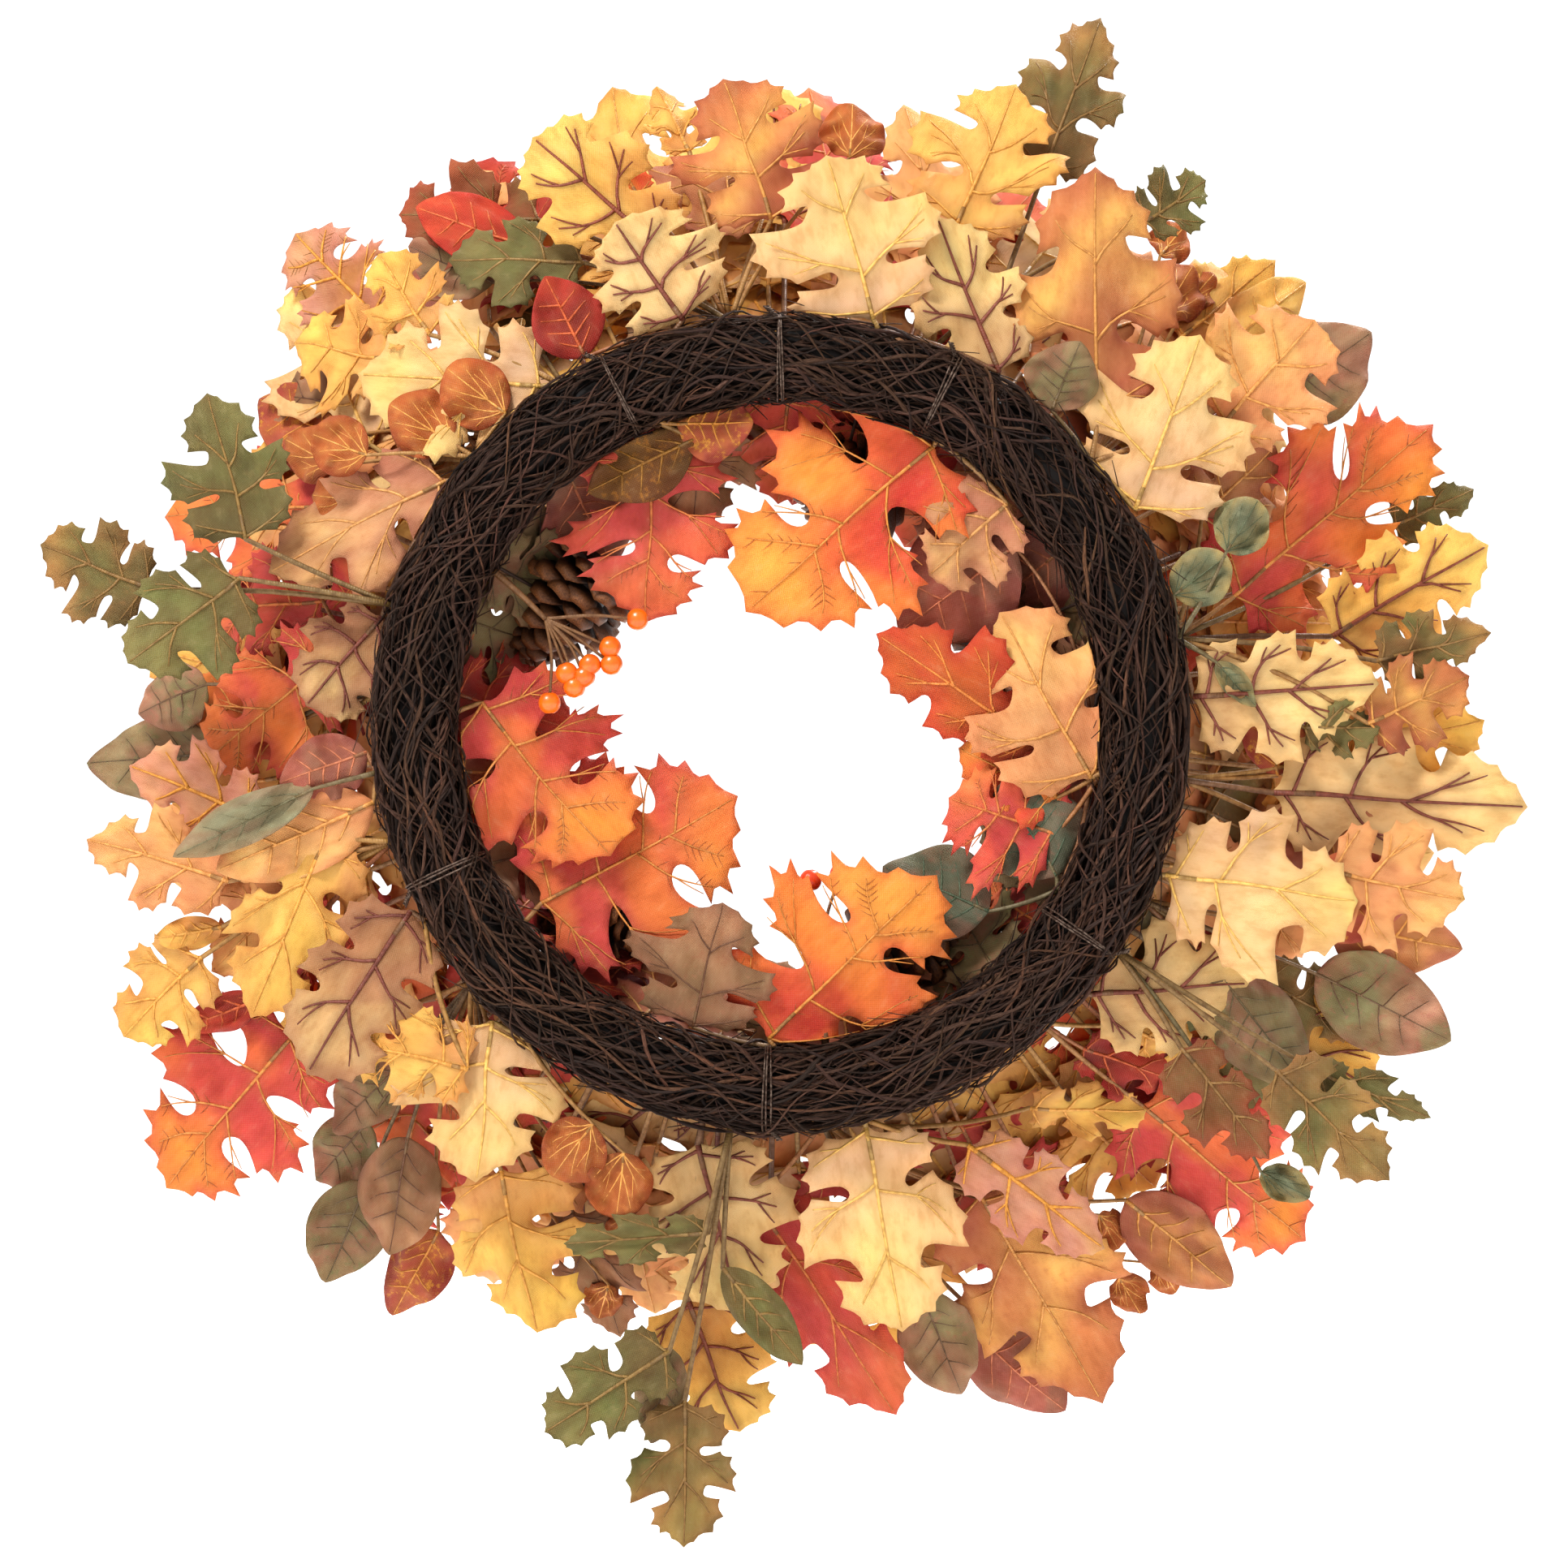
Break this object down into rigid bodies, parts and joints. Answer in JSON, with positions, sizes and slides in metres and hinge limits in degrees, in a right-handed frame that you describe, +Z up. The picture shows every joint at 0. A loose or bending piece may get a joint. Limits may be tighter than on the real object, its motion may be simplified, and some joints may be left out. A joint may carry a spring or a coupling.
{
  "type": "door wreath",
  "caption": "Round autumn door wreath: a wire-bound twig ring carrying wired picks of oak, maple and oval cloth leaves, berries and pinecones.",
  "frame": {"origin": "where a door hook carries the ring: the middle of the flat inside the top binding wire", "axes": "+Z up; +Y towards the door, so the display side faces -Y; X across the wreath"},
  "size_m": [0.594, 0.1309, 0.6188],
  "materials": {
    "twigs": "rough dark brown bark",
    "wire": "dark brown coated wire",
    "pinecone": "dry brown scales",
    "orange_berry": "satin orange",
    "red_berry": "satin red",
    "green_leaf": "printed cloth, amber lobe tips",
    "sage_leaf": "printed cloth, muted grey-green",
    "mauve_leaf": "printed cloth, mottled",
    "rust_leaf": "printed cloth, gold veins",
    "cream_leaf": "printed cloth, raised veins",
    "yellow_leaf": "printed cloth, raised veins",
    "red_leaf": "printed cloth, red fading to orange",
    "amber_leaf": "printed cloth, amber and brown"
  },
  "bodies": {
    "root": {"wire_hoop": "wire", "twig_bundle_1": "twigs", "twig_bundle_2": "twigs", "twig_bundle_3": "twigs", "binding_wire_1": "wire", "binding_wire_2": "wire", "binding_wire_3": "wire", "binding_wire_4": "wire", "binding_wire_5": "wire", "binding_wire_6": "wire", "sage_leaf_pick_left": "sage_leaf", "eucalyptus_pick_right": "sage_leaf", "cream_oak_pick_right": "cream_leaf", "purple_vein_pick_right": "yellow_leaf", "oak_pick_upper_right": "cream_leaf", "cream_oak_pick_top": "cream_leaf", "purple_vein_pick_top_left": "yellow_leaf", "cream_oak_pick_upper_left": "cream_leaf", "pink_oak_pick_left": "amber_leaf", "rust_leaf_cluster_upper_left": "rust_leaf", "purple_vein_pick_lower_left": "yellow_leaf", "cream_oak_pick_lower_left": "cream_leaf", "purple_vein_pick_bottom": "yellow_leaf", "cream_oak_pick_bottom": "cream_leaf", "purple_vein_pick_lower_right": "yellow_leaf", "cream_oak_pick_top_right": "cream_leaf", "red_maple_pick_right": "red_leaf", "magnolia_pick_upper_right": "mauve_leaf", "oak_pick_top": "amber_leaf", "yellow_maple_pick_upper_left": "yellow_leaf", "yellow_oak_pick_left": "yellow_leaf", "red_maple_pick_left": "red_leaf", "maple_pick_lower_left": "red_leaf", "oak_pick_bottom": "amber_leaf", "red_maple_pick_lower_right": "red_leaf", "magnolia_pick_lower_right": "mauve_leaf", "display_pick_right": "amber_leaf", "display_pick_upper_right": "cream_leaf", "display_pick_top": "red_leaf", "display_pick_left": "amber_leaf", "display_pick_lower_left": "yellow_leaf", "display_pick_bottom": "red_leaf", "maple_pick_inner_top_left": "red_leaf", "maple_pick_inner_left": "red_leaf", "maple_pick_inner_top": "red_leaf", "maple_pick_inner_lower_left": "red_leaf", "maple_pick_inner_bottom": "red_leaf", "oak_pick_inner_right": "amber_leaf", "magnolia_pick_inner_right": "mauve_leaf", "red_berry_pick": "red_berry", "pinecone_left": "pinecone", "pinecone_lower_left": "pinecone", "pinecone_bottom": "pinecone", "pinecone_right": "pinecone", "pinecone_top": "pinecone"},
    "green_oak_pick_left": {"green_oak_pick_left": "green_leaf"},
    "green_oak_pick_bottom": {"green_oak_pick_bottom": "green_leaf"},
    "green_oak_pick_lower_right": {"green_oak_pick_lower_right": "green_leaf"},
    "green_oak_pick_top_right": {"green_oak_pick_top_right": "green_leaf"},
    "orange_berry_pick": {"orange_berry_pick": "orange_berry"}
  },
  "joints": [
    {"name": "green_left_bend", "type": "hinge", "parent": "root", "child": "green_oak_pick_left", "pos_m": [0.15901, 0.00111, -0.07872], "axis": [0, -1, 0], "range_deg": [-6, 6]},
    {"name": "green_bottom_bend", "type": "hinge", "parent": "root", "child": "green_oak_pick_bottom", "pos_m": [0.02026, 0.00111, -0.29236], "axis": [0, -1, 0], "range_deg": [-6, 6]},
    {"name": "green_lower_right_bend", "type": "hinge", "parent": "root", "child": "green_oak_pick_lower_right", "pos_m": [-0.13784, 0.00111, -0.22031], "axis": [0, -1, 0], "range_deg": [-6, 6]},
    {"name": "green_top_right_bend", "type": "hinge", "parent": "root", "child": "green_oak_pick_top_right", "pos_m": [-0.07713, -0.00903, 0.01773], "axis": [0.1992, -0.9056, -0.3745], "range_deg": [-6, 6]},
    {"name": "orange_berry_bend", "type": "hinge", "parent": "root", "child": "orange_berry_pick", "pos_m": [0.10922, 0, -0.06926], "axis": [0, 1, 0], "range_deg": [-6, 6]}
  ]
}
